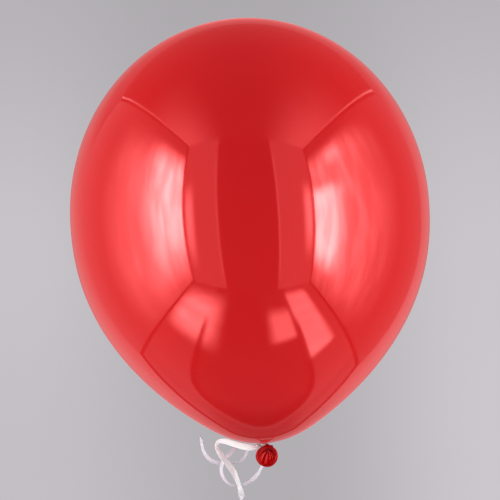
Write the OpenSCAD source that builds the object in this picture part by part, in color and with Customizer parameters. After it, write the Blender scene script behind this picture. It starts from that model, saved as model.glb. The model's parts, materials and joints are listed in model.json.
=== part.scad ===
// Inflated latex balloon tied off with a curling ribbon.
// Origin: centre of the neck, where the ribbon is tied. +Z runs up the balloon's axis
// to the crown, and the nozzle's mouth faces -Y. Millimetres.

/* [Envelope] */
// Largest diameter of the inflated envelope
body_d = 283; // [240:1:300]
// Height of the crown above the widest circle
crown_h = 154.2; // [130:1:170]
// Height of the widest circle above the tie
equator_z = 182.6; // [160:1:200]
// Thickness of the rubber wall as modelled
wall = 0.5; // [0.4:0.1:1]

/* [Neck and knot] */
// Diameter of the gathered neck at the top, where it leaves the envelope
neck_d = 6; // [5:0.2:7]
// Diameter of the neck where the ribbon squeezes it
waist_d = 5; // [4.4:0.2:5.4]
// Diameter of the overhand knot
knot_d = 10; // [9:0.2:10.4]

/* [Nozzle] */
// Outer diameter of the rolled lip
lip_d = 17.6; // [15:0.2:18]
// Thickness of the rolled lip's bead
bead_d = 1.8; // [1.2:0.1:2.4]
// Distance from the centre of the knot to the plane of the lip
nozzle_len = 13.6; // [12:0.2:15]
// How far the nozzle is turned to the side of straight forward
nozzle_turn = 2; // [0:1:20]

/* [Ribbon] */
// Width of the ribbon
ribbon_w = 5; // [4:0.2:5]
// Thickness of the space that the ribbon needs
ribbon_t = 1; // [0.6:0.1:1]
// Mean diameter of the wound coil of spare ribbon
coil_d = 55; // [50:1:60]
// Radial thickness of the stack of turns in the coil
coil_stack = 15; // [10:1:16]

/* [Hidden] */

// Clearance between pieces that move against each other
gap = 0.3;

// The lower half of the envelope is r = R (1 - s^fall)^close, where s runs from 0 at the
// widest circle to 1 at a virtual tip, and a shallow parabola rounds the bottom off.
fall = 2.2;
close = 0.8;
tip_depth = 187.3;
cap_r = 40;
profile_step = 5;

// Depth fraction of the curve at radius r, for a widest radius R
function depth_at(r, R) = pow(1 - pow(r / R, 1 / close), 1 / fall);
function radius_at(s, R) = R * pow(1 - pow(s, fall), close);
// Slope dz/dr of the lower curve at depth fraction s
function slope_at(s, R) = tip_depth / (R * close * fall * pow(s, fall - 1)
                                       * pow(1 - pow(s, fall), close - 1));

// Half outline of the envelope, inset by a wall thickness t: crown, lower curve, round bottom
function crown_points(t) =
    [for (a = [90 : -profile_step : 0]) [(body_d / 2 - t) * cos(a), equator_z + (crown_h - t) * sin(a)]];
function flank_points(t) =
    let (R = body_d / 2 - t, s_end = depth_at(cap_r, R), steps = 18)
    [for (i = [1 : steps]) let (s = s_end * i / steps) [radius_at(s, R), equator_z - (tip_depth - t) * s]];
function cap_points(t) =
    let (R = body_d / 2 - t, s = depth_at(cap_r, R), m = slope_at(s, R),
         z_join = equator_z - (tip_depth - t) * s, steps = 8)
    [for (i = [1 : steps]) let (r = cap_r + (neck_d / 2 - cap_r) * i / steps)
        [r, z_join - m * (cap_r * cap_r - r * r) / (2 * cap_r)]];
function half_outline(t) = concat(crown_points(t), flank_points(t), cap_points(t));

outer_line = half_outline(0);
inner_line = half_outline(wall);
pole_z = outer_line[len(outer_line) - 1][1];
neck_top_z = inner_line[len(inner_line) - 1][1];

// Centre of the knot, which is also the point that the nozzle bends about
knot_at = [1, 0, -7.6];
knot_r = knot_d / 2;
neck_end_z = -5.6;
lip_ring_r = (lip_d - bead_d) / 2;
skirt_wall = 0.6;
throat_r = 2.8;

// Height of the band of ribbon turns about the neck
wrap_h = 3;
wrap_r = 3.9;
ribbon_knot_at = [-4.7, -1.6, -0.4];
ribbon_knot_r = 1.7;
ribbon_knot_len = 4.6;

// Hinge of the hanging tail, and the coil below it
swing_at = [-20.5, -4.5, -37.2];
coil_drop = 47.8;
coil_at = [swing_at[0], swing_at[1], swing_at[2] - coil_drop];
coil_w = ribbon_w + 0.8;
tie_angle = 108;
tie_w = 5;
tie_wall = 0.8;

// Routes of the ribbon: x, y, z, and the turn of the ribbon's width about its length.
// At 0 the flat side faces -Y, and at 90 the edge does.
strand_route = [
    [-5.6, -2.6, -0.6, 0], [-7.8, -3.3, -1.3, 0], [-11.3, -3.8, -0.9, 5], [-16.8, -4.2, 0.2, 10],
    [-21.4, -4.5, 1.8, 15], [-25.3, -4.7, 3.3, 18], [-29.1, -4.8, 4.8, 22], [-33, -5, 5.6, 35],
    [-35.8, -5, 5.2, 50], [-37.4, -5, 3.1, 60], [-37.1, -5, 0.1, 55], [-35.6, -4.9, -3.5, 40],
    [-33.1, -4.7, -7.7, 25], [-30.3, -4.6, -11.6, 15], [-27.8, -4.5, -15.5, 15],
    [-25.5, -4.5, -19.6, 25], [-23.6, -4.5, -24.1, 38], [-22, -4.5, -28.9, 40], [-21, -4.5, -33.7, 25],
    [-20.6, -4.5, -36.6, 8]];
curl_route = [
    [-3.4, 4.6, -0.6, 90], [-4.4, 7.2, -0.8, 80], [-3.8, 9.4, -2.6, 70], [-2.1, 10.6, -6.6, 65],
    [-1.3, 10.8, -11.4, 62], [-2.2, 10.9, -16.2, 62], [-4.7, 11, -21.1, 60], [-8.5, 11.1, -25.8, 50],
    [-13.1, 11.3, -29.3, 50], [-18.8, 11.6, -31.7, 60], [-24.8, 11.9, -32.5, 62],
    [-29.7, 12.2, -30.7, 62], [-33.2, 12.5, -27, 60], [-35.1, 12.8, -22.3, 60], [-35.3, 13, -17.5, 58],
    [-33.8, 13.2, -12.9, 55], [-30.4, 13.5, -9, 55], [-26.9, 13.9, -5.7, 58], [-23.4, 14.3, -2.8, 62],
    [-20.1, 14.8, -0.9, 62], [-16.7, 15.3, -0.8, 60], [-14.5, 15.9, -2.5, 60], [-14.1, 16.5, -5.5, 60],
    [-15.8, 17.1, -9.5, 60], [-19.3, 17.7, -12.8, 60], [-23.6, 18.3, -14.7, 62],
    [-28, 18.8, -15.2, 62], [-32.5, 19.2, -15.2, 60], [-37.2, 19.5, -14.2, 50],
    [-42.1, 19.8, -12.2, 48], [-46.1, 20, -8.5, 50], [-48.7, 20.2, -3.8, 58], [-49.9, 20.4, 1.9, 62],
    [-50, 20.6, 7.1, 66]];
tail_route = [
    [-20.5, -4.5, -37.8, 0], [-20.5, -4.5, -39.2, 30], [-20.7, -4.5, -41.2, 70],
    [-21.7, -4.5, -44, 90], [-23.9, -4.5, -46.9, 90], [-27.1, -4.5, -49.4, 90]];

function unit(v) = v / norm(v);
function place(row) = [row[0], row[1], row[2]];
function along(route, i) =
    unit(place(route[min(i + 1, len(route) - 1)]) - place(route[max(i - 1, 0)]));

// Cross-section of a flat ribbon, eight corners, with eased edges
edge_ease = 0.3;
section = let (a = ribbon_w / 2, b = ribbon_t / 2, e = edge_ease)
    [[a, -b + e], [a, b - e], [a - e, b], [-a + e, b], [-a, b - e], [-a, -b + e], [-a + e, -b], [a - e, -b]];

// One ring of eight points about route point i
function ring(route, i) =
    let (t = along(route, i),
         flat_w = unit(cross(t, [0, 1, 0])),
         edge_w = cross(flat_w, t),
         turn = route[i][3],
         width_dir = cos(turn) * flat_w + sin(turn) * edge_w,
         thick_dir = cross(t, width_dir))
    [for (c = section) place(route[i]) + c[0] * width_dir + c[1] * thick_dir];

module flat_tube(route) {
    sides = len(section);
    last = len(route) - 1;
    points = [for (i = [0 : last]) each ring(route, i)];
    skin = [for (i = [0 : last - 1]) for (k = [0 : sides - 1])
        let (a = i * sides + k, b = i * sides + (k + 1) % sides)
        each [[a, a + sides, b], [b, a + sides, b + sides]]];
    first_cap = [for (k = [0 : sides - 1]) k];
    last_cap = [for (k = [sides - 1 : -1 : 0]) last * sides + k];
    polyhedron(points = points, faces = concat([first_cap], skin, [last_cap]), convexity = 10);
}

// Hollow inflated envelope, open only where the neck fills it
module envelope() {
    inner_back = [for (i = [len(inner_line) - 1 : -1 : 0]) inner_line[i]];
    color([0.78, 0.1, 0.12, 0.9])
    rotate_extrude($fn = 96)
    polygon(concat(outer_line, inner_back));
}

// Overhand knot: a core with one fat turn of rubber about it
module knot_shape() {
    turn_d = 4.2;
    translate(knot_at) {
        sphere(r = knot_r - 0.4, $fn = 48);
        rotate([70, 0, 25])
        rotate_extrude($fn = 48)
        translate([knot_r - turn_d / 2, 0])
        circle(d = turn_d, $fn = 32);
    }
}

module neck() {
    top_r = neck_d / 2;
    waist_r = waist_d / 2;
    color([0.55, 0.03, 0.05])
    difference() {
        rotate_extrude($fn = 48)
        polygon([[0, neck_top_z], [top_r, neck_top_z], [top_r, pole_z], [waist_r, wrap_h / 2 - 0.1],
                 [waist_r, -wrap_h / 2], [waist_r + 0.6, neck_end_z + 1.6], [waist_r, neck_end_z],
                 [0, neck_end_z]]);
        knot_shape();
    }
}

module neck_knot() {
    color([0.5, 0.02, 0.04])
    knot_shape();
}

// Puts what is drawn up +Z along the nozzle's own axis, from the centre of the knot
module nozzle_frame() {
    translate(knot_at)
    rotate([0, 0, nozzle_turn])
    rotate([90, 0, 0])
    children();
}

// Radius of the flared skirt at distance t from the centre of the knot
function skirt_r(t) =
    let (f = (t - knot_r) / (nozzle_len - knot_r)) throat_r + (lip_ring_r - throat_r) * pow(f, 1.25);

module nozzle() {
    floor_t = knot_r + 2.2;
    outside = [for (f = [0 : 0.1 : 1]) let (t = knot_r - 1 + (nozzle_len - knot_r + 1) * f)
        [skirt_r(max(t, knot_r)), t]];
    inside = [for (f = [1 : -0.1 : 0]) let (t = floor_t + (nozzle_len - floor_t) * f)
        [max(skirt_r(t) - skirt_wall, 0), t]];
    color([0.6, 0.02, 0.05])
    nozzle_frame()
    difference() {
        rotate_extrude($fn = 64)
        polygon(concat([[0, knot_r - 1]], outside, inside, [[0, floor_t]]));
        sphere(r = knot_r + gap, $fn = 48);
        lip_bead();
    }
}

module lip_bead() {
    translate([0, 0, nozzle_len])
    rotate_extrude($fn = 64)
    translate([lip_ring_r, 0])
    circle(d = bead_d, $fn = 24);
}

module rolled_lip() {
    color([0.55, 0.02, 0.04])
    nozzle_frame()
    lip_bead();
}

// Ribbon turns about the neck, drawn tight
module ribbon_wrap() {
    edge = 0.5;
    bore_r = waist_d / 2 + gap;
    half_h = wrap_h / 2 - 0.3;
    color([0.95, 0.9, 0.92])
    rotate_extrude($fn = 48)
    polygon([[bore_r, -half_h], [wrap_r - edge, -half_h], [wrap_r, -half_h + edge],
             [wrap_r, half_h - edge], [wrap_r - edge, half_h], [bore_r, half_h]]);
}

module ribbon_knot_shape() {
    translate(ribbon_knot_at)
    rotate([90, 0, 55])
    rotate_extrude($fn = 32)
    intersection() {
        translate([-1.2, 0]) circle(r = ribbon_knot_r + 1.2, $fn = 48);
        translate([0, -ribbon_knot_len / 2]) square([ribbon_knot_r, ribbon_knot_len]);
    }
}

module ribbon_knot() {
    color([0.97, 0.93, 0.95])
    difference() {
        ribbon_knot_shape();
        cylinder(r = wrap_r, h = 3 * wrap_h, center = true, $fn = 48);
    }
}

module ribbon_strand() {
    color([0.97, 0.93, 0.95])
    difference() {
        flat_tube(strand_route);
        ribbon_knot_shape();
    }
}

module ribbon_curl() {
    color([0.96, 0.88, 0.92])
    difference() {
        flat_tube(curl_route);
        cylinder(r = wrap_r, h = 3 * wrap_h, center = true, $fn = 48);
    }
}

module coil_space(grow) {
    translate(coil_at)
    rotate([90, 0, 0])
    rotate_extrude($fn = 96)
    translate([coil_d / 2 - coil_stack / 2 - grow, -coil_w / 2 - grow])
    square([coil_stack + 2 * grow, coil_w + 2 * grow]);
}

module ribbon_tail() {
    color([0.97, 0.93, 0.95])
    difference() {
        flat_tube(tail_route);
        coil_space(0);
    }
}

module ribbon_coil() {
    color([0.97, 0.93, 0.95])
    coil_space(0);
}

// Band that holds the turns of the coil together, just outside them
module coil_tie() {
    color([0.9, 0.86, 0.88])
    difference() {
        intersection() {
            coil_space(tie_wall);
            translate(coil_at)
            rotate([0, -tie_angle, 0])
            translate([coil_d / 2, 0, 0])
            cube([2 * coil_stack, 2 * coil_w, tie_w], center = true);
        }
        coil_space(0);
        flat_tube(tail_route);
    }
}

envelope();
neck();
neck_knot();
nozzle();
rolled_lip();
ribbon_wrap();
ribbon_knot();
ribbon_strand();
ribbon_curl();
ribbon_tail();
ribbon_coil();
coil_tie();
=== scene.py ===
"""A glossy red latex balloon, tied off with a pearly curling ribbon, against a pale studio backdrop."""
import json
import math

import bmesh
import bpy
import numpy as np
from mathutils import Matrix, Vector


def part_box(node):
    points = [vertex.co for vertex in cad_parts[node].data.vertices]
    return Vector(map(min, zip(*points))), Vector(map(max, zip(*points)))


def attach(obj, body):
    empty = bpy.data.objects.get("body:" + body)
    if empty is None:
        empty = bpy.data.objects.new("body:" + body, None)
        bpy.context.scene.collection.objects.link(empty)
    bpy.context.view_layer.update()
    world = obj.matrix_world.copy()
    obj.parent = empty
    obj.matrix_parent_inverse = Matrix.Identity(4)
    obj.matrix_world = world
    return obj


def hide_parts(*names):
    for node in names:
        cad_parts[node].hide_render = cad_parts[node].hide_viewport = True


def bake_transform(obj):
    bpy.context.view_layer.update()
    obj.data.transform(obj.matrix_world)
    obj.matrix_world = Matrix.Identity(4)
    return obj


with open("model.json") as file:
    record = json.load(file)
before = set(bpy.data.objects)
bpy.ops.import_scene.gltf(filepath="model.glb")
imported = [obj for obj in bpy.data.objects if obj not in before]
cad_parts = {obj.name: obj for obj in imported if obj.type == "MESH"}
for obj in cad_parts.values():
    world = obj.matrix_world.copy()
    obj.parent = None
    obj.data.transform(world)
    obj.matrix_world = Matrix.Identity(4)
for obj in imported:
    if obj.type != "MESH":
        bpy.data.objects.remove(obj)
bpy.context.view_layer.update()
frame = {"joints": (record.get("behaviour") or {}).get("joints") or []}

MM = 0.001
Y = Vector((0, 1, 0))

# ---------------------------------------------------------------- sizes from the frame
ENV_LOW, ENV_HIGH = (Vector(c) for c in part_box("envelope"))
LIP_LOW, LIP_HIGH = (Vector(c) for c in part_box("rolled_lip"))
COIL_LOW, COIL_HIGH = (Vector(c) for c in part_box("ribbon_coil"))
WRAP_LOW, WRAP_HIGH = (Vector(c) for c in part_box("ribbon_wrap"))
JOINT = {j["name"]: Vector(j.get("pos_m", (0, 0, 0))) for j in frame["joints"]}
KNOT_AT = JOINT["nozzle_bend"]

# The skin is half an ellipse above its widest place, at EQUATOR_Z. Below that, its radius is
# (1 - s ** FALL) ** CLOSE of the widest, where s is the depth as a part of TIP_DEPTH, down to CAP_R.
# From there a shallow bowl closes it in to NECK_R.
BODY_R = (ENV_HIGH.x - ENV_LOW.x) / 2
EQUATOR_Z = 182.6 * MM
CROWN_H = ENV_HIGH.z - EQUATOR_Z
TIP_DEPTH = 187.3 * MM
FALL, CLOSE = 2.2, 0.8
CAP_R = 40 * MM
NECK_R = 3 * MM
SKIN = 0.4 * MM

RIBBON_W = 5 * MM
RIBBON_T = 0.22 * MM
RIBBON_LENGTH = 1.3
RIBS, RIB_H = 13, 0.022 * MM
COIL_PITCH = 1.88 * MM
COIL_LEAN = 21.0
ROUTE_STEPS = 8


# ---------------------------------------------------------------- camera
def make_camera():
    """A long lens level with the balloon, turned so that the balloon's axis leans as it hangs."""
    distance = 1.6
    height = 154.3 * MM
    half_view = 197.45 * MM
    aside = -1.6 * MM
    lean = math.radians(3.6)
    data = bpy.data.cameras.new("camera")
    data.sensor_width = 36
    data.lens = data.sensor_width / 2 * distance / half_view
    data.clip_end = 20
    camera = bpy.data.objects.new("camera", data)
    bpy.context.scene.collection.objects.link(camera)
    camera.matrix_world = (Matrix.Translation((aside, -distance, height))
                           @ Matrix.Rotation(math.pi / 2, 4, "X") @ Matrix.Rotation(-lean, 4, "Z"))
    bpy.context.scene.camera = camera


make_camera()


# ---------------------------------------------------------------- mesh helpers
def mesh_object(name, verts, faces, material, smooth=True):
    mesh = bpy.data.meshes.new(name)
    mesh.from_pydata([tuple(v) for v in verts], [], faces)
    mesh.validate()
    mesh.update()
    if smooth:
        mesh.shade_smooth()
    obj = bpy.data.objects.new(name, mesh)
    bpy.context.scene.collection.objects.link(obj)
    mesh.materials.append(material)
    return obj


def fuse(obj, voxel, smooth_steps):
    """Makes the overlapping parts of a piece into one closed, softened skin."""
    remesh = obj.modifiers.new("remesh", "REMESH")
    remesh.mode = "VOXEL"
    remesh.voxel_size = voxel
    soften = obj.modifiers.new("soften", "SMOOTH")
    soften.factor = 0.5
    soften.iterations = smooth_steps
    depsgraph = bpy.context.evaluated_depsgraph_get()
    mesh = bpy.data.meshes.new_from_object(obj.evaluated_get(depsgraph))
    obj.modifiers.clear()
    obj.data = mesh
    mesh.shade_smooth()


def spline(rows, steps):
    """Smooth curve through the rows, each a point and any other numbers, with steps per span."""
    rows = np.array(rows, float)
    out = []
    for i in range(len(rows) - 1):
        p0, p1 = rows[max(i - 1, 0)], rows[i]
        p2, p3 = rows[i + 1], rows[min(i + 2, len(rows) - 1)]
        for k in range(steps):
            u = k / steps
            out.append(0.5 * (2 * p1 + (p2 - p0) * u + (2 * p0 - 5 * p1 + 4 * p2 - p3) * u ** 2
                              + (3 * p1 - p0 - 3 * p2 + p3) * u ** 3))
    out.append(rows[-1])
    return np.array(out)


def tangents(points):
    d = np.gradient(points, axis=0)
    return d / np.linalg.norm(d, axis=1)[:, None]


def route_length(points):
    return float(np.linalg.norm(np.diff(points, axis=0), axis=1).sum())


def distances(points):
    """How far along the line each of its points is."""
    return np.concatenate([[0], np.cumsum(np.linalg.norm(np.diff(points, axis=0), axis=1))])


def sweep(name, centres, across, through, section, material):
    """A closed skin of cross-sections: across and through are unit vectors at each centre, and
    section(i) gives that station's corners along them, in metres."""
    verts, faces = [], []
    for i, c in enumerate(centres):
        ring = section(i)
        count = len(ring)
        for a, b in ring:
            verts.append(c + across[i] * a + through[i] * b)
    for i in range(len(centres) - 1):
        for k in range(count):
            n = (k + 1) % count
            faces.append((i * count + k, i * count + n, (i + 1) * count + n, (i + 1) * count + k))
    faces.append(tuple(range(count))[::-1])
    faces.append(tuple((len(centres) - 1) * count + k for k in range(count)))
    return mesh_object(name, verts, faces, material)


def mark_ribbon(obj, run, across):
    """Gives a swept ribbon its place along and across, for the ribs of its material and for its painted
    shade and painted red light from the balloon.
    """
    for key, values in (("along", np.repeat(run, len(across))), ("across", np.tile(across, len(run)))):
        layer = obj.data.attributes.new(key, "FLOAT", "POINT")
        layer.data.foreach_set("value", values.astype(np.float32))


# ---------------------------------------------------------------- material helpers
class Nodes:
    """Short calls for building one material's node tree."""

    def __init__(self, name):
        self.material = bpy.data.materials.new(name)
        self.material.use_nodes = True
        self.tree = self.material.node_tree
        self.shader = self.tree.nodes["Principled BSDF"]
        self.output = self.tree.nodes["Material Output"]

    def add(self, kind, **inputs):
        node = self.tree.nodes.new(kind)
        for key, value in inputs.items():
            socket = node.inputs[key.replace("_", " ")]
            self.feed(socket, value)
        return node

    def feed(self, socket, value):
        if isinstance(value, bpy.types.NodeSocket):
            self.tree.links.new(value, socket)
        else:
            socket.default_value = value

    def set(self, **inputs):
        for key, value in inputs.items():
            self.feed(self.shader.inputs[key.replace("_", " ")], value)

    def math(self, operation, a, b=0.0, clamp=False):
        node = self.tree.nodes.new("ShaderNodeMath")
        node.operation = operation
        node.use_clamp = clamp
        self.feed(node.inputs[0], a)
        self.feed(node.inputs[1], b)
        return node.outputs[0]

    def mix(self, factor, a, b):
        node = self.tree.nodes.new("ShaderNodeMix")
        node.data_type = "RGBA"
        self.feed(node.inputs["Factor"], factor)
        self.feed(node.inputs["A"], a)
        self.feed(node.inputs["B"], b)
        return node.outputs["Result"]

    def span(self, value, low, high, to_low=0.0, to_high=1.0):
        node = self.tree.nodes.new("ShaderNodeMapRange")
        node.interpolation_type = "SMOOTHSTEP"
        for socket, number in zip(node.inputs[:5], (value, low, high, to_low, to_high)):
            self.feed(socket, number)
        return node.outputs[0]

    def place(self):
        """Position on the object as separate x, y and z, in metres."""
        coords = self.tree.nodes.new("ShaderNodeTexCoord").outputs["Object"]
        split = self.tree.nodes.new("ShaderNodeSeparateXYZ")
        self.tree.links.new(coords, split.inputs[0])
        return coords, split.outputs

    def attribute(self, name):
        node = self.tree.nodes.new("ShaderNodeAttribute")
        node.attribute_name = name
        return node.outputs["Fac"]

    def noise(self, scale, detail=3.0, rough=0.5, vector=None):
        node = self.add("ShaderNodeTexNoise", Scale=scale, Detail=detail, Roughness=rough)
        if vector is not None:
            self.feed(node.inputs["Vector"], vector)
        return node.outputs["Fac"]

    def stretch(self, vector, scale):
        node = self.tree.nodes.new("ShaderNodeMapping")
        self.feed(node.inputs["Vector"], vector)
        node.inputs["Scale"].default_value = scale
        return node.outputs[0]

    def bump(self, height, distance, strength=1.0):
        node = self.add("ShaderNodeBump", Height=height, Strength=strength)
        node.inputs["Distance"].default_value = distance
        self.feed(self.shader.inputs["Normal"], node.outputs[0])


def latex_material(name, deep, bright, roughness, wrinkles, gloss=0.5, sheen=0.7):
    """Dyed latex. deep is its colour where the rubber is thick, and bright where it is stretched.
    wrinkles is how fine the unevenness of its surface is."""
    n = Nodes(name)
    coords, (_, _, z) = n.place()
    cloud = n.noise(9.0, 3.0, 0.5, coords)
    speck = n.noise(420.0, 2.0, 0.6, coords)
    streak = n.noise(60.0, 2.0, 0.5, n.stretch(coords, (1, 1, 0.08)))
    thin = n.math("ADD", n.span(z, 0.0, 0.05, 0.0, 0.8), n.math("MULTIPLY", cloud, 0.3), clamp=True)
    colour = n.mix(thin, (*deep, 1), (*bright, 1))
    colour = n.mix(n.span(speck, 0.62, 0.8, 0.0, 0.12), colour, (*[c * 0.6 for c in deep], 1))
    n.set(Base_Color=colour, IOR=1.5, Metallic=0.22, Specular_IOR_Level=gloss)
    n.set(Roughness=n.span(streak, 0.3, 0.7, roughness * 0.8, roughness * 1.25))
    n.set(Subsurface_Weight=0.15, Subsurface_Radius=(1.0, 0.12, 0.1), Subsurface_Scale=0.006)
    n.set(Sheen_Weight=sheen, Sheen_Roughness=0.35, Sheen_Tint=(1.0, 0.1, 0.1, 1))
    fine = n.math("ADD", n.math("MULTIPLY", speck, 0.25), n.noise(wrinkles, 2.0, 0.5, coords))
    n.bump(fine, 0.00002, 0.35)
    return n.material


def ribbon_material(name, fade_start, fade_end, far, bounce_green, spare_start):
    """Pearly curling ribbon: fine ribs along it, white at the knot, and greyer and pinker further along,
    which is painted shade and painted red light from the balloon.
    far is its brightness there, and bounce_green is how much of its green is left where it is pinkest. It
    is white again from spare_start, where it is wound up and its turns shade each other."""
    n = Nodes(name)
    along, across = n.attribute("along"), n.attribute("across")
    # random patches where painted red light from the balloon shows
    bounce_patches = n.noise(3.0, 3.0, 0.6, n.add("ShaderNodeCombineXYZ", X=n.math("MULTIPLY", along, 30.0),
                                        Y=across, Z=0.0).outputs[0])
    # past the knot: painted shade, with patches of painted red light from the balloon
    shade_and_bounce = n.mix(n.span(bounce_patches, 0.38, 0.68), (far * 0.92, far * 0.96, far, 1),
                 (far * 0.98, far * bounce_green, far * (bounce_green + 1) / 2, 1))
    # at the knot: the ribbon's own white, with patches of painted red light from the balloon
    white = n.mix(n.span(bounce_patches, 0.5, 0.75), (0.97, 0.96, 0.97, 1), (0.96, 0.86, 0.89, 1))
    ribs_across = 14
    colour = n.mix(n.span(along, fade_start, fade_end), white, shade_and_bounce)
    colour = n.mix(n.span(along, spare_start, spare_start + 0.02), colour, white)
    ribs = n.math("SINE", n.math("MULTIPLY", across, 2 * math.pi * ribs_across))
    n.set(Base_Color=colour, IOR=1.49, Roughness=n.span(ribs, -1.0, 1.0, 0.2, 0.32))
    n.set(Subsurface_Weight=0.3, Subsurface_Radius=(1.0, 0.8, 0.85), Subsurface_Scale=0.001)
    n.set(Sheen_Weight=0.35, Sheen_Roughness=0.3, Sheen_Tint=(1.0, 0.85, 0.92, 1))
    n.set(Thin_Film_Thickness=420.0, Thin_Film_IOR=1.38)
    n.bump(ribs, 0.00003, 0.5)
    return n.material


SKIN_RED = latex_material("latex_skin", (0.5, 0.006, 0.008), (0.68, 0.012, 0.014),
                          roughness=0.06, wrinkles=30.0)
GATHERED_RED = latex_material("latex_gathered", (0.33, 0.001, 0.002), (0.43, 0.002, 0.003),
                              roughness=0.2, wrinkles=500.0, gloss=0.14, sheen=0.15)
# neck and knot: the deeper red of gathered rubber, darkened further by painted shade where they hang under
# the balloon
KNOT_RED_SHADED = latex_material("latex_knotted_shaded", (0.3, 0.001, 0.002), (0.38, 0.002, 0.003),
                          roughness=0.22, wrinkles=500.0, gloss=0.14, sheen=0.15)
LIP_RED = latex_material("latex_lip", (0.28, 0.001, 0.002), (0.36, 0.002, 0.003),
                         roughness=0.2, wrinkles=700.0, gloss=0.12, sheen=0.12)
# past the knot both ribbons are painted greyer, as shade, and pinker, as red light from the balloon
PEARL = ribbon_material("pearl_ribbon", fade_start=0.028, fade_end=0.05, far=0.58, bounce_green=0.88,
                        spare_start=0.095)
# the short end is all in use, so its spare length starts past its end
PEARL_CURL = ribbon_material("pearl_ribbon_curled", fade_start=0.004, fade_end=0.012, far=0.62, bounce_green=0.76,
                             spare_start=1.0)


# ---------------------------------------------------------------- ribbon, as a free cord
# Routes of the ribbon in millimetres: x, y, z, and the turn of the ribbon's width about its length.
STRAND_ROUTE = [
    (-5.6, -2.6, -0.6, 0), (-7.8, -3.3, -1.3, 0), (-11.3, -3.8, -0.9, 5), (-16.8, -4.2, 0.2, 10),
    (-21.4, -4.5, 1.8, 15), (-25.3, -4.7, 3.3, 18), (-29.1, -4.8, 4.8, 22), (-33, -5, 5.6, 35),
    (-35.8, -5, 5.2, 50), (-37.4, -5, 3.1, 60), (-37.1, -5, 0.1, 55), (-35.6, -4.9, -3.5, 40),
    (-33.1, -4.7, -7.7, 25), (-30.3, -4.6, -11.6, 15), (-27.8, -4.5, -15.5, 15), (-25.5, -4.5, -19.6, 25),
    (-23.6, -4.5, -24.1, 42), (-22, -4.5, -28.9, 50), (-21, -4.5, -33.7, 42), (-20.6, -4.5, -36.6, 12)]
CURL_ROUTE = [
    (-3.4, 4.6, -0.6, 90), (-4.4, 7.2, -0.8, 80), (-3.8, 9.4, -2.6, 70), (-2.1, 10.6, -6.6, 65),
    (-1.3, 10.8, -11.4, 62), (-2.2, 10.9, -16.2, 62), (-4.7, 11, -21.1, 60), (-8.5, 11.1, -25.8, 50),
    (-13.1, 11.3, -29.3, 50), (-18.8, 11.6, -31.7, 60), (-24.8, 11.9, -32.5, 62), (-29.7, 12.2, -30.7, 62),
    (-33.2, 12.5, -27, 60), (-35.1, 12.8, -22.3, 60), (-35.3, 13, -17.5, 58), (-33.8, 13.2, -12.9, 55),
    (-30.4, 13.5, -9, 55), (-26.9, 13.9, -5.7, 58), (-23.4, 14.3, -2.8, 62), (-20.1, 14.8, -0.9, 62),
    (-16.7, 15.3, -0.8, 60), (-14.5, 15.9, -2.5, 60), (-14.1, 16.5, -5.5, 60), (-15.8, 17.1, -9.5, 60),
    (-19.3, 17.7, -12.8, 60), (-23.6, 18.3, -14.7, 62), (-28, 18.8, -15.2, 62), (-32.5, 19.2, -15.2, 60),
    (-37.2, 19.5, -14.2, 50), (-42.1, 19.8, -12.2, 48), (-46.1, 20, -8.5, 50), (-48.7, 20.2, -3.8, 58),
    (-49.9, 20.4, 1.9, 62), (-50, 20.6, 7.1, 66)]
TAIL_ROUTE = [
    (-20.5, -4.5, -37.8, 0), (-20.5, -4.5, -39.2, 30), (-20.7, -4.5, -41.2, 70), (-21.7, -4.5, -44, 90),
    (-23.9, -4.5, -46.9, 90), (-27.1, -4.5, -49.4, 90)]


def coil_rows(length):
    """Rows of a flat spiral that goes on from the tail's end, winding inwards, length long. Its turns
    lean, so that each lies a little over the next."""
    centre = (COIL_LOW + COIL_HIGH) / 2 / MM
    reach = RIBBON_W / MM / 2 * math.sin(math.radians(COIL_LEAN))
    margin = 0.2
    outer = (COIL_HIGH.x - COIL_LOW.x) / 2 / MM - margin - reach
    start = math.radians(112)
    per_turn = 30
    waver = 0.25
    rows, done, k = [], 0.0, 0
    while done < length / MM:
        turned = 2 * math.pi * k / per_turn
        radius = outer - COIL_PITCH / MM * turned / (2 * math.pi)
        sway = waver * math.sin(2.3 * turned) * min(1, turned)
        angle = start + turned
        rows.append((centre.x + radius * math.cos(angle), centre.y + sway,
                     centre.z + radius * math.sin(angle), 90 - COIL_LEAN * min(1, turned)))
        if k:
            done += math.dist(rows[-1][:3], rows[-2][:3])
        k += 1
    return rows


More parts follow.
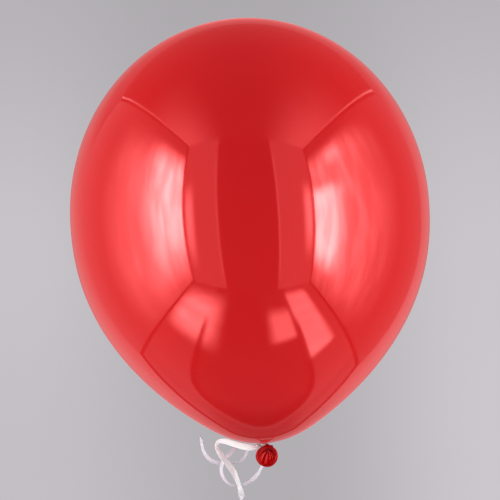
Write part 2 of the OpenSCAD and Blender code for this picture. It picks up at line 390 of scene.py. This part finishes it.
def ribbon(name, rows, start_width, end_slant, material):
    """A flat ribbon along the rows, ribbed along its length and cupped a little across it. It is
    bunched to start_width of its width where it leaves the knot, and cut off slantwise."""
    line = spline(rows, ROUTE_STEPS)
    points = line[:, :3] * MM
    turn = np.radians(line[:, 3])
    along = tangents(points)
    flat = np.cross(along, np.array(Y))
    flat /= np.linalg.norm(flat, axis=1)[:, None]
    edge = np.cross(flat, along)
    width_dir = np.cos(turn)[:, None] * flat + np.sin(turn)[:, None] * edge
    thick_dir = np.cross(along, width_dir)
    run = distances(points)
    columns = 28
    cup = 0.18 * MM
    bunched = 7 * MM
    across = np.linspace(-1, 1, columns + 1)

    def section(i):
        grow = min(1.0, run[i] / bunched)
        width = RIBBON_W / 2 * (start_width + (1 - start_width) * grow ** 0.7)
        gather = (1 - grow) * 0.5 * MM
        top, bottom = [], []
        for u in across:
            rise = cup * (1 - u * u) + RIB_H * math.cos(math.pi * RIBS * u)
            rise += gather * math.cos(2.5 * math.pi * u)
            top.append((u * width, rise + RIBBON_T / 2))
            bottom.append((u * width, rise - RIBBON_T / 2))
        return top + bottom[::-1]

    obj = sweep(name, points, width_dir, thick_dir, section, material)
    mark_ribbon(obj, run, np.concatenate([across, across[::-1]]))
    for v in list(obj.data.vertices)[-2 * len(across):]:
        offset = Vector(v.co) - Vector(points[-1])
        v.co = v.co + Vector(along[-1]) * offset.dot(Vector(width_dir[-1])) * end_slant
    return obj, points


strand_rows = STRAND_ROUTE + TAIL_ROUTE
hung = route_length(spline(strand_rows, ROUTE_STEPS)[:, :3]) * MM
ribbon_long, long_path = ribbon("ribbon_long", strand_rows + coil_rows(RIBBON_LENGTH - hung),
                                start_width=0.45, end_slant=0.6, material=PEARL)
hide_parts("ribbon_strand", "ribbon_tail", "ribbon_coil")
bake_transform(ribbon_long)

ribbon_short, short_path = ribbon("ribbon_short", CURL_ROUTE,
                                  start_width=0.4, end_slant=0.8, material=PEARL_CURL)
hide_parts("ribbon_curl")
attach(ribbon_short, "short_curl")


# ---------------------------------------------------------------- envelope
def gathers(angle):
    """Uneven pleats of the rubber round the neck."""
    return math.cos(17 * angle) + 0.5 * math.cos(11 * angle + 1.0)


def lower_radius(s, big_r):
    return big_r * (1 - s ** FALL) ** CLOSE


def envelope_outline(inset):
    """Radius and height down the skin from the crown to the neck."""
    big_r = BODY_R - inset
    rise, drop = CROWN_H - inset, TIP_DEPTH - inset
    line = [(big_r * math.sin(a), EQUATOR_Z + rise * math.cos(a)) for a in np.linspace(0, math.pi / 2, 72)]
    s_cap = (1 - (CAP_R / big_r) ** (1 / CLOSE)) ** (1 / FALL)
    for s in np.linspace(0, s_cap, 70)[1:]:
        line.append((lower_radius(s, big_r), EQUATOR_Z - drop * s))
    # the bowl starts with the slope that the curve has at CAP_R, and flattens towards the axis
    slope = drop / (big_r * CLOSE * FALL * s_cap ** (FALL - 1) * (1 - s_cap ** FALL) ** (CLOSE - 1))
    join_z = EQUATOR_Z - drop * s_cap
    for r in np.linspace(CAP_R, NECK_R, 44)[1:]:
        line.append((r, join_z - slope * (CAP_R ** 2 - r * r) / (2 * CAP_R)))
    return line


def make_envelope():
    """Blown-up skin, with fine gathers where it runs down into the neck."""
    around = 288
    gather_reach = 15 * MM
    gather_h = 0.16 * MM
    verts, faces = [], []
    outer, inner = envelope_outline(0), envelope_outline(SKIN)
    rings = outer[1:] + inner[:0:-1]
    for r, z in rings:
        fade = max(0.0, 1 - (r - NECK_R) / gather_reach) ** 2 if z < EQUATOR_Z else 0.0
        for k in range(around):
            a = 2 * math.pi * k / around
            verts.append((r * math.cos(a), r * math.sin(a), z + gather_h * fade * gathers(a)))
    verts += [(0, 0, outer[0][1]), (0, 0, inner[0][1])]
    top, under = len(verts) - 2, len(verts) - 1
    count = len(rings)
    for k in range(around):
        n = (k + 1) % around
        faces.append((top, k, n))
        faces.append((under, (count - 1) * around + n, (count - 1) * around + k))
        for i in range(count - 1):
            faces.append((i * around + k, (i + 1) * around + k, (i + 1) * around + n, i * around + n))
    skin = mesh_object("envelope_skin", verts, faces, SKIN_RED)
    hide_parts("envelope")
    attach(skin, "balloon")


make_envelope()


# ---------------------------------------------------------------- neck, knot and nozzle
def tube_faces(rings, around):
    """Faces of a skin made of closed rings of points, with a flat face at each end."""
    faces = []
    for i in range(rings - 1):
        for k in range(around):
            n = (k + 1) % around
            faces.append((i * around + k, (i + 1) * around + k, (i + 1) * around + n, i * around + n))
    faces.append(tuple(range(around)))
    faces.append(tuple((rings - 1) * around + k for k in range(around))[::-1])
    return faces


def make_neck():
    """Gathered neck, squeezed to a waist under the ribbon and swelling into the knot."""
    # radius and height down the neck, in millimetres
    profile = [(4.6, 2.15), (3.5, 2.0), (3.1, 1.6), (2.75, 1.0), (2.55, 0.3), (2.5, -0.4), (2.55, -1.1),
               (2.8, -1.9), (3.1, -2.9), (3.0, -3.9), (2.6, -4.9), (2.0, -5.6)]
    around = 204
    pleat_h = 0.13 * MM
    line = spline(profile, 5) * MM
    verts = []
    for i, (r, z) in enumerate(line):
        for k in range(around):
            a = 2 * math.pi * k / around
            # the finer pleats turn a little about the neck on the way down
            pleated = r + pleat_h * (math.cos(17 * a + 0.06 * i) + 0.5 * math.cos(11 * a + 1.0))
            verts.append((pleated * math.cos(a), pleated * math.sin(a), z))
    neck = mesh_object("neck_gathers", verts, tube_faces(len(line), around), KNOT_RED_SHADED)
    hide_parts("neck")
    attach(neck, "balloon")


def trefoil(scale, steps=220):
    """Centreline of an overhand knot drawn tight, closed on itself."""
    t = np.linspace(0, 2 * math.pi, steps)
    ring = 2 + np.cos(3 * t)
    return np.stack([ring * np.cos(2 * t), ring * np.sin(2 * t), 1.15 * np.sin(3 * t)], axis=1) * scale


def tube_frames(points):
    """Side and up unit vectors that turn as little as they can along the points."""
    along = tangents(points)
    side = np.cross(along[0], (0, 0, 1.0))
    sides = []
    for d in along:
        side = side - d * side.dot(d)
        side = side / np.linalg.norm(side)
        sides.append(side)
    sides = np.array(sides)
    return sides, np.cross(along, sides)


def make_knot():
    """Overhand knot in the neck: a wrinkled rubber rope wound through itself, fused into one skin."""
    rope_r, core_r, corners = 1.72 * MM, 3.4 * MM, 48
    tilt, spin = math.radians(70), math.radians(20)
    voxel = 0.14 * MM
    points = trefoil(1.04 * MM)
    across, through = tube_frames(points)

    def section(i):
        out = []
        for k in range(corners):
            a = 2 * math.pi * k / corners
            wrinkle = 1 + 0.07 * math.cos(8 * a + 0.05 * i) + 0.035 * math.cos(13 * a - 0.09 * i)
            out.append((rope_r * 1.06 * wrinkle * math.cos(a), rope_r * 0.94 * wrinkle * math.sin(a)))
        return out

    rope = sweep("knot_rope", points, across, through, section, KNOT_RED_SHADED)
    core = bmesh.new()
    bmesh.ops.create_uvsphere(core, u_segments=48, v_segments=32, radius=core_r)
    core.from_mesh(rope.data)
    core.to_mesh(rope.data)
    core.free()
    rope.data.transform(Matrix.Translation(KNOT_AT) @ Matrix.Rotation(tilt, 4, "X")
                        @ Matrix.Rotation(spin, 4, "Z"))
    fuse(rope, voxel, 3)
    rope.data.materials.clear()
    rope.data.materials.append(KNOT_RED_SHADED)
    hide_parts("neck_knot")
    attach(rope, "balloon")


LIP_AT = (LIP_LOW + LIP_HIGH) / 2
NOZZLE_AXIS = (LIP_AT - KNOT_AT).normalized()
NOZZLE_LEN = (LIP_AT - KNOT_AT).length
NOZZLE_SIDE = NOZZLE_AXIS.cross(Vector((0, 0, 1))).normalized()
NOZZLE_UP = NOZZLE_SIDE.cross(NOZZLE_AXIS)
BEAD_R = 0.9 * MM
LIP_RING_R = (LIP_HIGH.z - LIP_LOW.z) / 2 - BEAD_R
KNOT_R = 5 * MM
THROAT_R = 2.8 * MM


def mouth_radius(angle):
    """Radius of the mouth's ring at an angle, with a dip at the top where the rubber comes over."""
    wave = 0.012 * math.cos(2 * angle + 0.6) + 0.012 * math.cos(3 * angle - 0.4)
    dip = 0.085 * math.exp(-((angle - math.radians(104)) / 0.42) ** 2)
    return LIP_RING_R * (1 + wave - dip) - 0.1 * MM


def nozzle_point(t, r, angle, rise, side=0.0):
    return (KNOT_AT + NOZZLE_AXIS * t + NOZZLE_SIDE * (r * math.cos(angle) + side)
            + NOZZLE_UP * (r * math.sin(angle) + rise))


def ease(value, low, high):
    u = min(1.0, max(0.0, (value - low) / (high - low)))
    return u * u * (3 - 2 * u)


def make_nozzle():
    """Flared skirt past the knot: it humps up over the knot, and folds fan out from its throat to
    the rolled lip."""
    around, rows = 240, 44
    start = KNOT_R * 0.72
    lift, hump, hump_aside = 1.2 * MM, 4.2 * MM, -1.6 * MM
    hump_from, hump_full, hump_falls = 4.6 * MM, 7 * MM, 6.6 * MM
    least_r = 0.05 * MM
    verts = []

    def folds(flare, angle):
        depth = 0.2 * (1 - flare) ** 0.9 + 0.008
        a = angle + 0.25 * math.sin(2 * angle)
        return 1 + depth * (0.7 * math.cos(8 * a + 0.7) + 0.5 * math.cos(13 * a + 2.0) * (0.3 + flare))

    def ring(f, wall):
        t = start + (NOZZLE_LEN - start) * f
        flare = max(0.0, (t - KNOT_R) / (NOZZLE_LEN - KNOT_R)) ** 1.25
        over = ease(t, hump_from, hump_full) * (1 - ease(t, hump_falls, NOZZLE_LEN))
        rise = lift * (1 - flare) + hump * over
        for k in range(around):
            a = 2 * math.pi * k / around
            r = (THROAT_R * (1 - flare) + mouth_radius(a) * flare) * folds(flare, a) - wall
            verts.append(nozzle_point(t, max(r, least_r), a, rise, hump_aside * over))

    for i in range(rows + 1):
        ring(i / rows, 0.0)
    # back down the inside from the mouth, where the rubber draws together into the closed throat
    deepest, drawn_from, drawn_in = 0.34, 0.4, 3.4 * MM
    for i in range(rows + 1):
        f = 1 - (1 - deepest) * i / rows
        pinch = SKIN + drawn_in * max(0.0, (i / rows - drawn_from) / (1 - drawn_from)) ** 1.6
        ring(f, pinch)
    skirt = mesh_object("nozzle_skirt", verts, tube_faces(2 * (rows + 1), around), GATHERED_RED)
    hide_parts("nozzle")
    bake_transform(skirt)
    return skirt


def make_lip():
    """Rolled bead round the mouth, with the shallow groove where the roll meets the skirt."""
    around, corners = 200, 28
    verts, faces = [], []
    for i in range(around):
        a = 2 * math.pi * i / around
        thick = BEAD_R * (0.97 + 0.05 * math.cos(2 * a - 0.8) + 0.02 * math.cos(7 * a))
        wave = 0.12 * MM * math.cos(3 * a + 0.5)
        for k in range(corners):
            b = 2 * math.pi * k / corners
            groove = 1 - 0.16 * math.exp(-((b - 3.6) / 0.35) ** 2) + 0.015 * math.cos(31 * a)
            r = mouth_radius(a) + thick * groove * math.cos(b)
            verts.append(nozzle_point(NOZZLE_LEN + wave + thick * groove * math.sin(b), r, a, 0.0))
    for i in range(around):
        for k in range(corners):
            n, m = (k + 1) % corners, (i + 1) % around
            faces.append((i * corners + k, m * corners + k, m * corners + n, i * corners + n))
    lip = mesh_object("lip_bead", verts, faces, LIP_RED)
    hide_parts("rolled_lip")
    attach(lip, "nozzle_flap")


make_neck()
make_knot()
nozzle_skirt = make_nozzle()
make_lip()


# ---------------------------------------------------------------- ribbon round the neck
def gathered_ribbon(name, points, width, thick, across_dirs, through_dirs):
    """Ribbon bunched into a ropy strip, with creases along it."""
    corners = 40
    ribs_left = 0.3

    def section(i):
        out = []
        for k in range(corners):
            a = 2 * math.pi * k / corners
            crease = 1 + 0.1 * math.cos(7 * a + 0.07 * i) + 0.05 * math.cos(12 * a - 0.05 * i)
            out.append((width / 2 * crease * math.cos(a), thick / 2 * crease * math.sin(a)))
        return out

    obj = sweep(name, points, across_dirs, through_dirs, section, PEARL)
    angles = np.linspace(0, 2 * math.pi, corners, endpoint=False)
    mark_ribbon(obj, distances(points), np.cos(angles) * ribs_left)
    return obj


def make_wrap():
    """Three turns of ribbon drawn tight round the waist of the neck."""
    turns, per_turn = 3, 90
    margin_z, margin_r = 0.4 * MM, 0.62 * MM
    half_h = (WRAP_HIGH.z - WRAP_LOW.z) / 2 - margin_z
    radius = WRAP_HIGH.x - margin_r
    t = np.linspace(0, 1, turns * per_turn)
    angle = 2 * math.pi * turns * t + math.pi
    sway = 0.12 * MM * np.sin(1.7 * angle)
    points = np.stack([radius * np.cos(angle), radius * np.sin(angle), half_h * (1 - 2 * t) + sway], axis=1)
    outward = np.stack([np.cos(angle), np.sin(angle), 0 * angle], axis=1)
    up = np.tile((0.0, 0.0, 1.0), (len(points), 1))
    wrap = gathered_ribbon("ribbon_turns", points, 1.0 * MM, 0.95 * MM, up, outward)
    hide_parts("ribbon_wrap")
    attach(wrap, "ribbon")


def make_ribbon_knot():
    """Small overhand knot that holds the turns, beside the neck."""
    low, high = (Vector(c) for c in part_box("ribbon_knot"))
    tilt, spin = math.radians(80), math.radians(55)
    points = trefoil(0.48 * MM, 160)
    across, through = tube_frames(points)
    knot = gathered_ribbon("ribbon_hitch", points, 1.3 * MM, 0.8 * MM, across, through)
    knot.data.transform(Matrix.Translation((low + high) / 2) @ Matrix.Rotation(spin, 4, "Z")
                        @ Matrix.Rotation(tilt, 4, "X"))
    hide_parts("ribbon_knot")
    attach(knot, "ribbon")


def make_coil_tie():
    """Band of ribbon round the wound turns, its end lapped over."""
    wound_depth = 15 * MM
    gap_y, gap_r = 0.3 * MM, 0.35 * MM
    centre = (COIL_LOW + COIL_HIGH) / 2
    outer_r = (COIL_HIGH.x - COIL_LOW.x) / 2
    inner_r = outer_r - wound_depth
    half_y = (COIL_HIGH.y - COIL_LOW.y) / 2 + gap_y
    angle = math.radians(108)
    outward = np.array((math.cos(angle), 0, math.sin(angle)))
    tangent = np.array((-math.sin(angle), 0, math.cos(angle)))
    sideways = np.array(Y)
    mid_r, half_r = (outer_r + inner_r) / 2, (outer_r - inner_r) / 2 + gap_r
    lap = 0.12
    roundness = 0.44
    steps = 150
    points = []
    for i in range(steps + 1):
        a = 2 * math.pi * (1 + lap) * i / steps - 0.3
        c, s = math.cos(a), math.sin(a)
        spread = 1 + 0.05 * (i / steps)
        r = mid_r + half_r * math.copysign(abs(c) ** roundness, c) * spread
        y = half_y * math.copysign(abs(s) ** roundness, s) * spread
        points.append(np.array(centre) + outward * r + sideways * y)
    points = np.array(points)
    across = np.tile(tangent, (len(points), 1))
    through = np.cross(tangents(points), across)
    columns = 20
    grid = np.linspace(-1, 1, columns + 1)
    half_w, thick = 2.4 * MM, 0.2 * MM

    def section(i):
        rise = [RIB_H * math.cos(math.pi * RIBS * u) for u in grid]
        top = [(u * half_w, h + thick / 2) for u, h in zip(grid, rise)]
        return top + [(u * half_w, h - thick / 2) for u, h in zip(grid, rise)][::-1]

    band = sweep("coil_band", points, across, through, section, PEARL)
    mark_ribbon(band, distances(points), np.concatenate([grid, grid[::-1]]))
    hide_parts("coil_tie")
    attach(band, "hanging_tail")
    return band


make_wrap()
make_ribbon_knot()
coil_band = make_coil_tie()


# ---------------------------------------------------------------- stage and light
def glow_material(n, colour, strength):
    """Turns a node tree into a plain light source."""
    n.tree.nodes.remove(n.shader)
    glow = n.add("ShaderNodeEmission", Color=colour, Strength=strength)
    n.tree.links.new(glow.outputs[0], n.output.inputs["Surface"])
    return n.material


def make_backdrop():
    """Pale bowl all round: a floor that curves up into a wall, lit a little brighter at each side, with
    painted shade low on its left.
    """
    wall_r, curve_r, floor_z, top_z = 3.3, 1.2, -2.6, 4.0
    line = [(0.001, floor_z), (wall_r - curve_r, floor_z)]
    for a in np.linspace(0, math.pi / 2, 20)[1:]:
        line.append((wall_r - curve_r + curve_r * math.sin(a), floor_z + curve_r * (1 - math.cos(a))))
    line.append((wall_r, top_z))
    around = 96
    verts = [(r * math.cos(2 * math.pi * k / around), r * math.sin(2 * math.pi * k / around), z)
             for r, z in line for k in range(around)]
    faces = [(i * around + k, i * around + (k + 1) % around, (i + 1) * around + (k + 1) % around,
              (i + 1) * around + k) for i in range(len(line) - 1) for k in range(around)]
    n = Nodes("backdrop")
    _, (x, _, z) = n.place()
    side = n.span(n.math("ABSOLUTE", x), 0.05, 0.55, 0.0, 0.15)
    high = n.span(z, 0.1, 0.95, 1.0, 0.25)
    level = n.math("ADD", n.math("MULTIPLY", side, high), n.span(z, -0.4, 0.9, 0.445, 0.42))
    # painted shade: the glow is dimmed low on the left, beside the balloon
    shade = n.math("MULTIPLY", n.span(x, -0.52, -0.12, 1.0, 0.0), n.span(z, -0.35, 0.35, 0.05, 0.0))
    glow_material(n, (1.0, 0.958, 1.012, 1), n.math("SUBTRACT", level, shade))
    mesh_object("backdrop", verts, faces, n.material)


# corners of the tent, seen from the balloon's equator: left or right, front or back, low or high
LFL, LFH = (-0.735, -0.9, -0.60), (-0.735, -0.9, 0.78)
RFL, RFH = (0.70, -0.9, -0.70), (0.70, -0.9, 0.63)
RBL, RBH = (0.64, 0.60, -0.76), (0.70, 0.58, 0.54)
LBL, LBH = (-0.79, 0.60, -0.70), (-0.79, 0.62, 0.71)
CLOTH_WHITE = (1.0, 0.985, 0.99, 1)


class Tent(Nodes):
    """Light of one wall of the tent, built up from soft-edged patches over its two directions."""

    def __init__(self, name, base):
        super().__init__(name)
        coords, (x, y, z) = self.place()
        self.x, self.y, self.z = x, y, self.math("SUBTRACT", z, EQUATOR_Z)
        self.cloth = self.noise(4.5, 2.0, 0.5, self.stretch(coords, (1, 2.4, 0.8)))
        self.level = base

    def window(self, value, low, high, soft_low, soft_high=None):
        """1 from low to high and 0 outside, with soft edges."""
        rise = self.span(value, low - soft_low, low + soft_low)
        soft_high = soft_high or soft_low
        fall = self.span(value, high - soft_high, high + soft_high, 1.0, 0.0)
        return self.math("MULTIPLY", rise, fall)

    def patch(self, level, *windows):
        """Adds light where all the windows are open."""
        amount = level
        for w in windows:
            amount = self.math("MULTIPLY", w, amount)
        self.level = self.math("ADD", self.level, amount)

    def cut(self, window, left):
        """Dims the light in the window to the part that is left."""
        keep = self.math("SUBTRACT", 1.0, self.math("MULTIPLY", window, 1.0 - left))
        self.level = self.math("MULTIPLY", self.level, keep)

    def folds(self, least):
        """Uneven light of cloth that hangs in soft folds."""
        return self.span(self.cloth, 0.36, 0.66, least, 1.0)


def cloth(material, points):
    """A panel that only gloss sees."""
    obj = mesh_object(material.name, [p + Vector((0, 0, EQUATOR_Z)) for p in points], [(0, 1, 2, 3)],
                      material, smooth=False)
    obj.visible_camera = obj.visible_diffuse = obj.visible_shadow = False
    obj.visible_transmission = obj.visible_volume_scatter = False


def tent_wall(n, corners, gap=0.013, back_gap=0.0, flush_front=False):
    """A wall of the light tent, drawn in a little from its corners so that the seams show a dark sheet
    behind it."""
    seam_colour, seam_level, behind_wall = (1.0, 0.9, 0.9, 1), 0.02, 1.012
    glow_material(n, CLOTH_WHITE, n.level)
    points = [Vector(c) for c in corners]
    inner = []
    for i, p in enumerate(points):
        ahead = (points[(i + 1) % 4] - p).normalized()
        behind = (points[i - 1] - p).normalized()
        inner.append(p + (ahead + behind) * gap)
        if p.y > 0:
            inner[-1].y = p.y - back_gap
        elif flush_front:
            inner[-1].y, inner[-1].z = p.y, p.z
    cloth(n.material, inner)
    dark = Nodes(n.material.name + "_dark")
    glow_material(dark, seam_colour, seam_level)
    cloth(dark.material, [p * behind_wall for p in points])


def hem(name, start, end, inward):
    """Bright edge of cloth beside a seam."""
    level, width, from_seam = 1.6, 0.014, 0.018
    in_front = 0.995
    n = Nodes(name)
    glow_material(n, CLOTH_WHITE, level)
    start, end, inward = Vector(start), Vector(end), Vector(inward)
    near = [p + inward * from_seam for p in (start, end)]
    far = [p + inward * (from_seam + width) for p in (end, start)]
    cloth(n.material, [p * in_front for p in near + far])


def make_tent():
    """White cube of cloth round the balloon, with softboxes at its sides and a slit for the lens."""
    n = Tent("tent_front", 0.7)
    # a bright strip at each side, the dark slit, and a bright hem on each side of the slit
    n.patch(3.0, n.window(n.x, -0.69, -0.59, 0.02, 0.05), n.window(n.z, -0.26, 0.22, 0.25, 0.15))
    n.patch(3.4, n.window(n.x, 0.57, 0.66, 0.05, 0.02), n.window(n.z, -0.25, 0.18, 0.2, 0.12))
    n.cut(n.window(n.x, -0.296, 0.256, 0.01), 0.1)
    n.patch(0.7, n.window(n.x, -0.312, -0.298, 0.008), n.window(n.z, -0.5, 0.5, 0.1))
    n.patch(0.7, n.window(n.x, 0.258, 0.272, 0.008), n.window(n.z, -0.5, 0.5, 0.1))
    tent_wall(n, [LFL, RFL, RFH, LFH], flush_front=True)

    n = Tent("tent_left", 0.4)
    n.patch(12.4, n.window(n.y, -0.92, -0.46, 0.03, 0.16), n.window(n.z, -0.24, 0.5, 0.32, 0.16),
            n.folds(0.62))
    n.patch(3.3, n.window(n.y, -0.92, -0.12, 0.03, 0.3), n.window(n.z, -0.5, 0.5, 0.35, 0.2), n.folds(0.75))
    tent_wall(n, [LFL, LBL, LBH, LFH])

    n = Tent("tent_right", 0.25)
    n.patch(12.8, n.window(n.y, -0.92, -0.54, 0.03, 0.14), n.window(n.z, -0.4, 0.16, 0.14, 0.06),
            n.folds(0.75))
    n.patch(4.4, n.window(n.y, -0.92, -0.2, 0.03, 0.35), n.window(n.z, -0.55, 0.44, 0.3, 0.1), n.folds(0.6))
    n.patch(4.0, n.window(n.y, -0.6, -0.42, 0.07), n.window(n.z, 0.34, 0.44, 0.06))
    tent_wall(n, [RFL, RBL, RBH, RFH])

    n = Tent("tent_top", 0.1)
    near = n.window(n.y, -0.9, -0.3, 0.02, 0.4)
    n.patch(1.1, n.window(n.x, -0.8, -0.42, 0.02, 0.25), near)
    n.patch(1.1, n.window(n.x, 0.36, 0.8, 0.25, 0.02), near)
    tent_wall(n, [LFH, RFH, RBH, LBH], flush_front=True)
    hem("hem_left", LFH, LBH, (1, 0, 0))
    hem("hem_right", RFH, RBH, (-1, 0, 0))

    n = Tent("tent_floor", 0.4)
    # a dark table under the balloon: out is 1 along its rounded edge
    table_x, table_half_w = 0.04, 0.37
    table_y, table_reach = 0.1, 0.34
    across = n.math("DIVIDE", n.math("ADD", n.x, table_x), table_half_w)
    across = n.math("POWER", n.math("ABSOLUTE", across), 6.0)
    reach = n.math("MAXIMUM", n.math("DIVIDE", n.math("ADD", n.y, table_y), table_reach), 0.0)
    out = n.math("ADD", across, n.math("POWER", reach, 3.4))
    n.cut(n.span(out, 0.8, 1.1, 1.0, 0.0), 0.28)
    # light of the softboxes on the floor at its sides
    n.patch(5.0, n.window(n.x, -0.70, -0.31, 0.09, 0.09), n.window(n.y, -0.70, -0.28, 0.16, 0.1),
            n.folds(0.75))
    n.patch(3.3, n.window(n.x, 0.31, 0.54, 0.02, 0.04), n.window(n.y, -0.8, -0.12, 0.06, 0.03),
            n.folds(0.85))
    n.patch(2.6, n.window(n.x, 0.10, 0.28, 0.05, 0.02), n.window(n.y, -0.6, -0.34, 0.08, 0.03))
    # the table's darker edge, deepest at its far side, and the dim floor beyond it
    n.cut(n.math("MULTIPLY", n.window(out, 0.5, 1.0, 0.2), n.span(n.y, -0.55, -0.38)), 0.12)
    n.cut(n.window(n.y, 0.26, 0.8, 0.04), 0.75)
    middle = n.window(n.x, -0.28, 0.22, 0.07)
    n.cut(n.math("MULTIPLY", middle, n.window(n.y, 0.12, 0.22, 0.05, 0.02)), 0.2)
    n.cut(n.math("MULTIPLY", middle, n.window(n.y, 0.26, 0.8, 0.04)), 0.55)
    # painted shade: a dark strip in front of the table, under the lens's slit
    near = n.window(n.y, -1.0, -0.3, 0.02, 0.15)
    n.cut(n.math("MULTIPLY", n.window(n.x, -0.22, 0.08, 0.07), near), 0.3)
    tent_wall(n, [LFL, RFL, RBL, LBL], gap=0.016, back_gap=0.09, flush_front=True)

    n = Tent("tent_back", 0.36)
    n.patch(0.2, n.window(n.z, -0.8, -0.1, 0.02, 0.5))
    n.cut(n.span(n.z, 0.25, 0.5), 0.6)
    n.cut(n.math("MULTIPLY", n.window(n.x, -0.34, 0.34, 0.12), n.window(n.z, -0.9, 0.1, 0.02, 0.2)), 0.7)
    tent_wall(n, [LBL, RBL, RBH, LBH], gap=-0.01)


def make_light():
    """Soft lamps that light the colours. Gloss doesn't see them, because the tent is there for that."""
    # name, place, watts and size
    for name, where, power, size in (
            ("key", (-1.2, -1.6, 1.2), 14, 1.4), ("fill", (1.4, -1.6, 0.8), 12, 1.4),
            ("left", (-1.6, 0.1, 0.3), 25, 1.2), ("right", (1.6, 0.1, 0.3), 25, 1.2),
            ("top", (0, 0.3, 2.2), 14.5, 1.6), ("under", (0, -0.7, -0.85), 8.5, 1.2)):
        data = bpy.data.lights.new(name, "AREA")
        data.shape = "SQUARE"
        data.size = size
        data.energy = power
        lamp = bpy.data.objects.new(name, data)
        lamp.location = where
        aim = Vector((0, 0, EQUATOR_Z)) - Vector(where)
        lamp.rotation_mode = "QUATERNION"
        lamp.rotation_quaternion = aim.to_track_quat("-Z", "Y")
        lamp.visible_glossy = False
        bpy.context.scene.collection.objects.link(lamp)
    world = bpy.data.worlds.new("studio")
    world.use_nodes = True
    world.node_tree.nodes["Background"].inputs["Color"].default_value = (0.5, 0.5, 0.52, 1)
    bpy.context.scene.world = world
    bpy.context.scene.view_settings.view_transform = "Standard"


make_backdrop()
make_tent()
make_light()

# the rubber shows no mirror image of the ribbon, the coil's band or the nozzle
for faint in (ribbon_long, ribbon_short, coil_band, nozzle_skirt):
    faint.visible_glossy = False
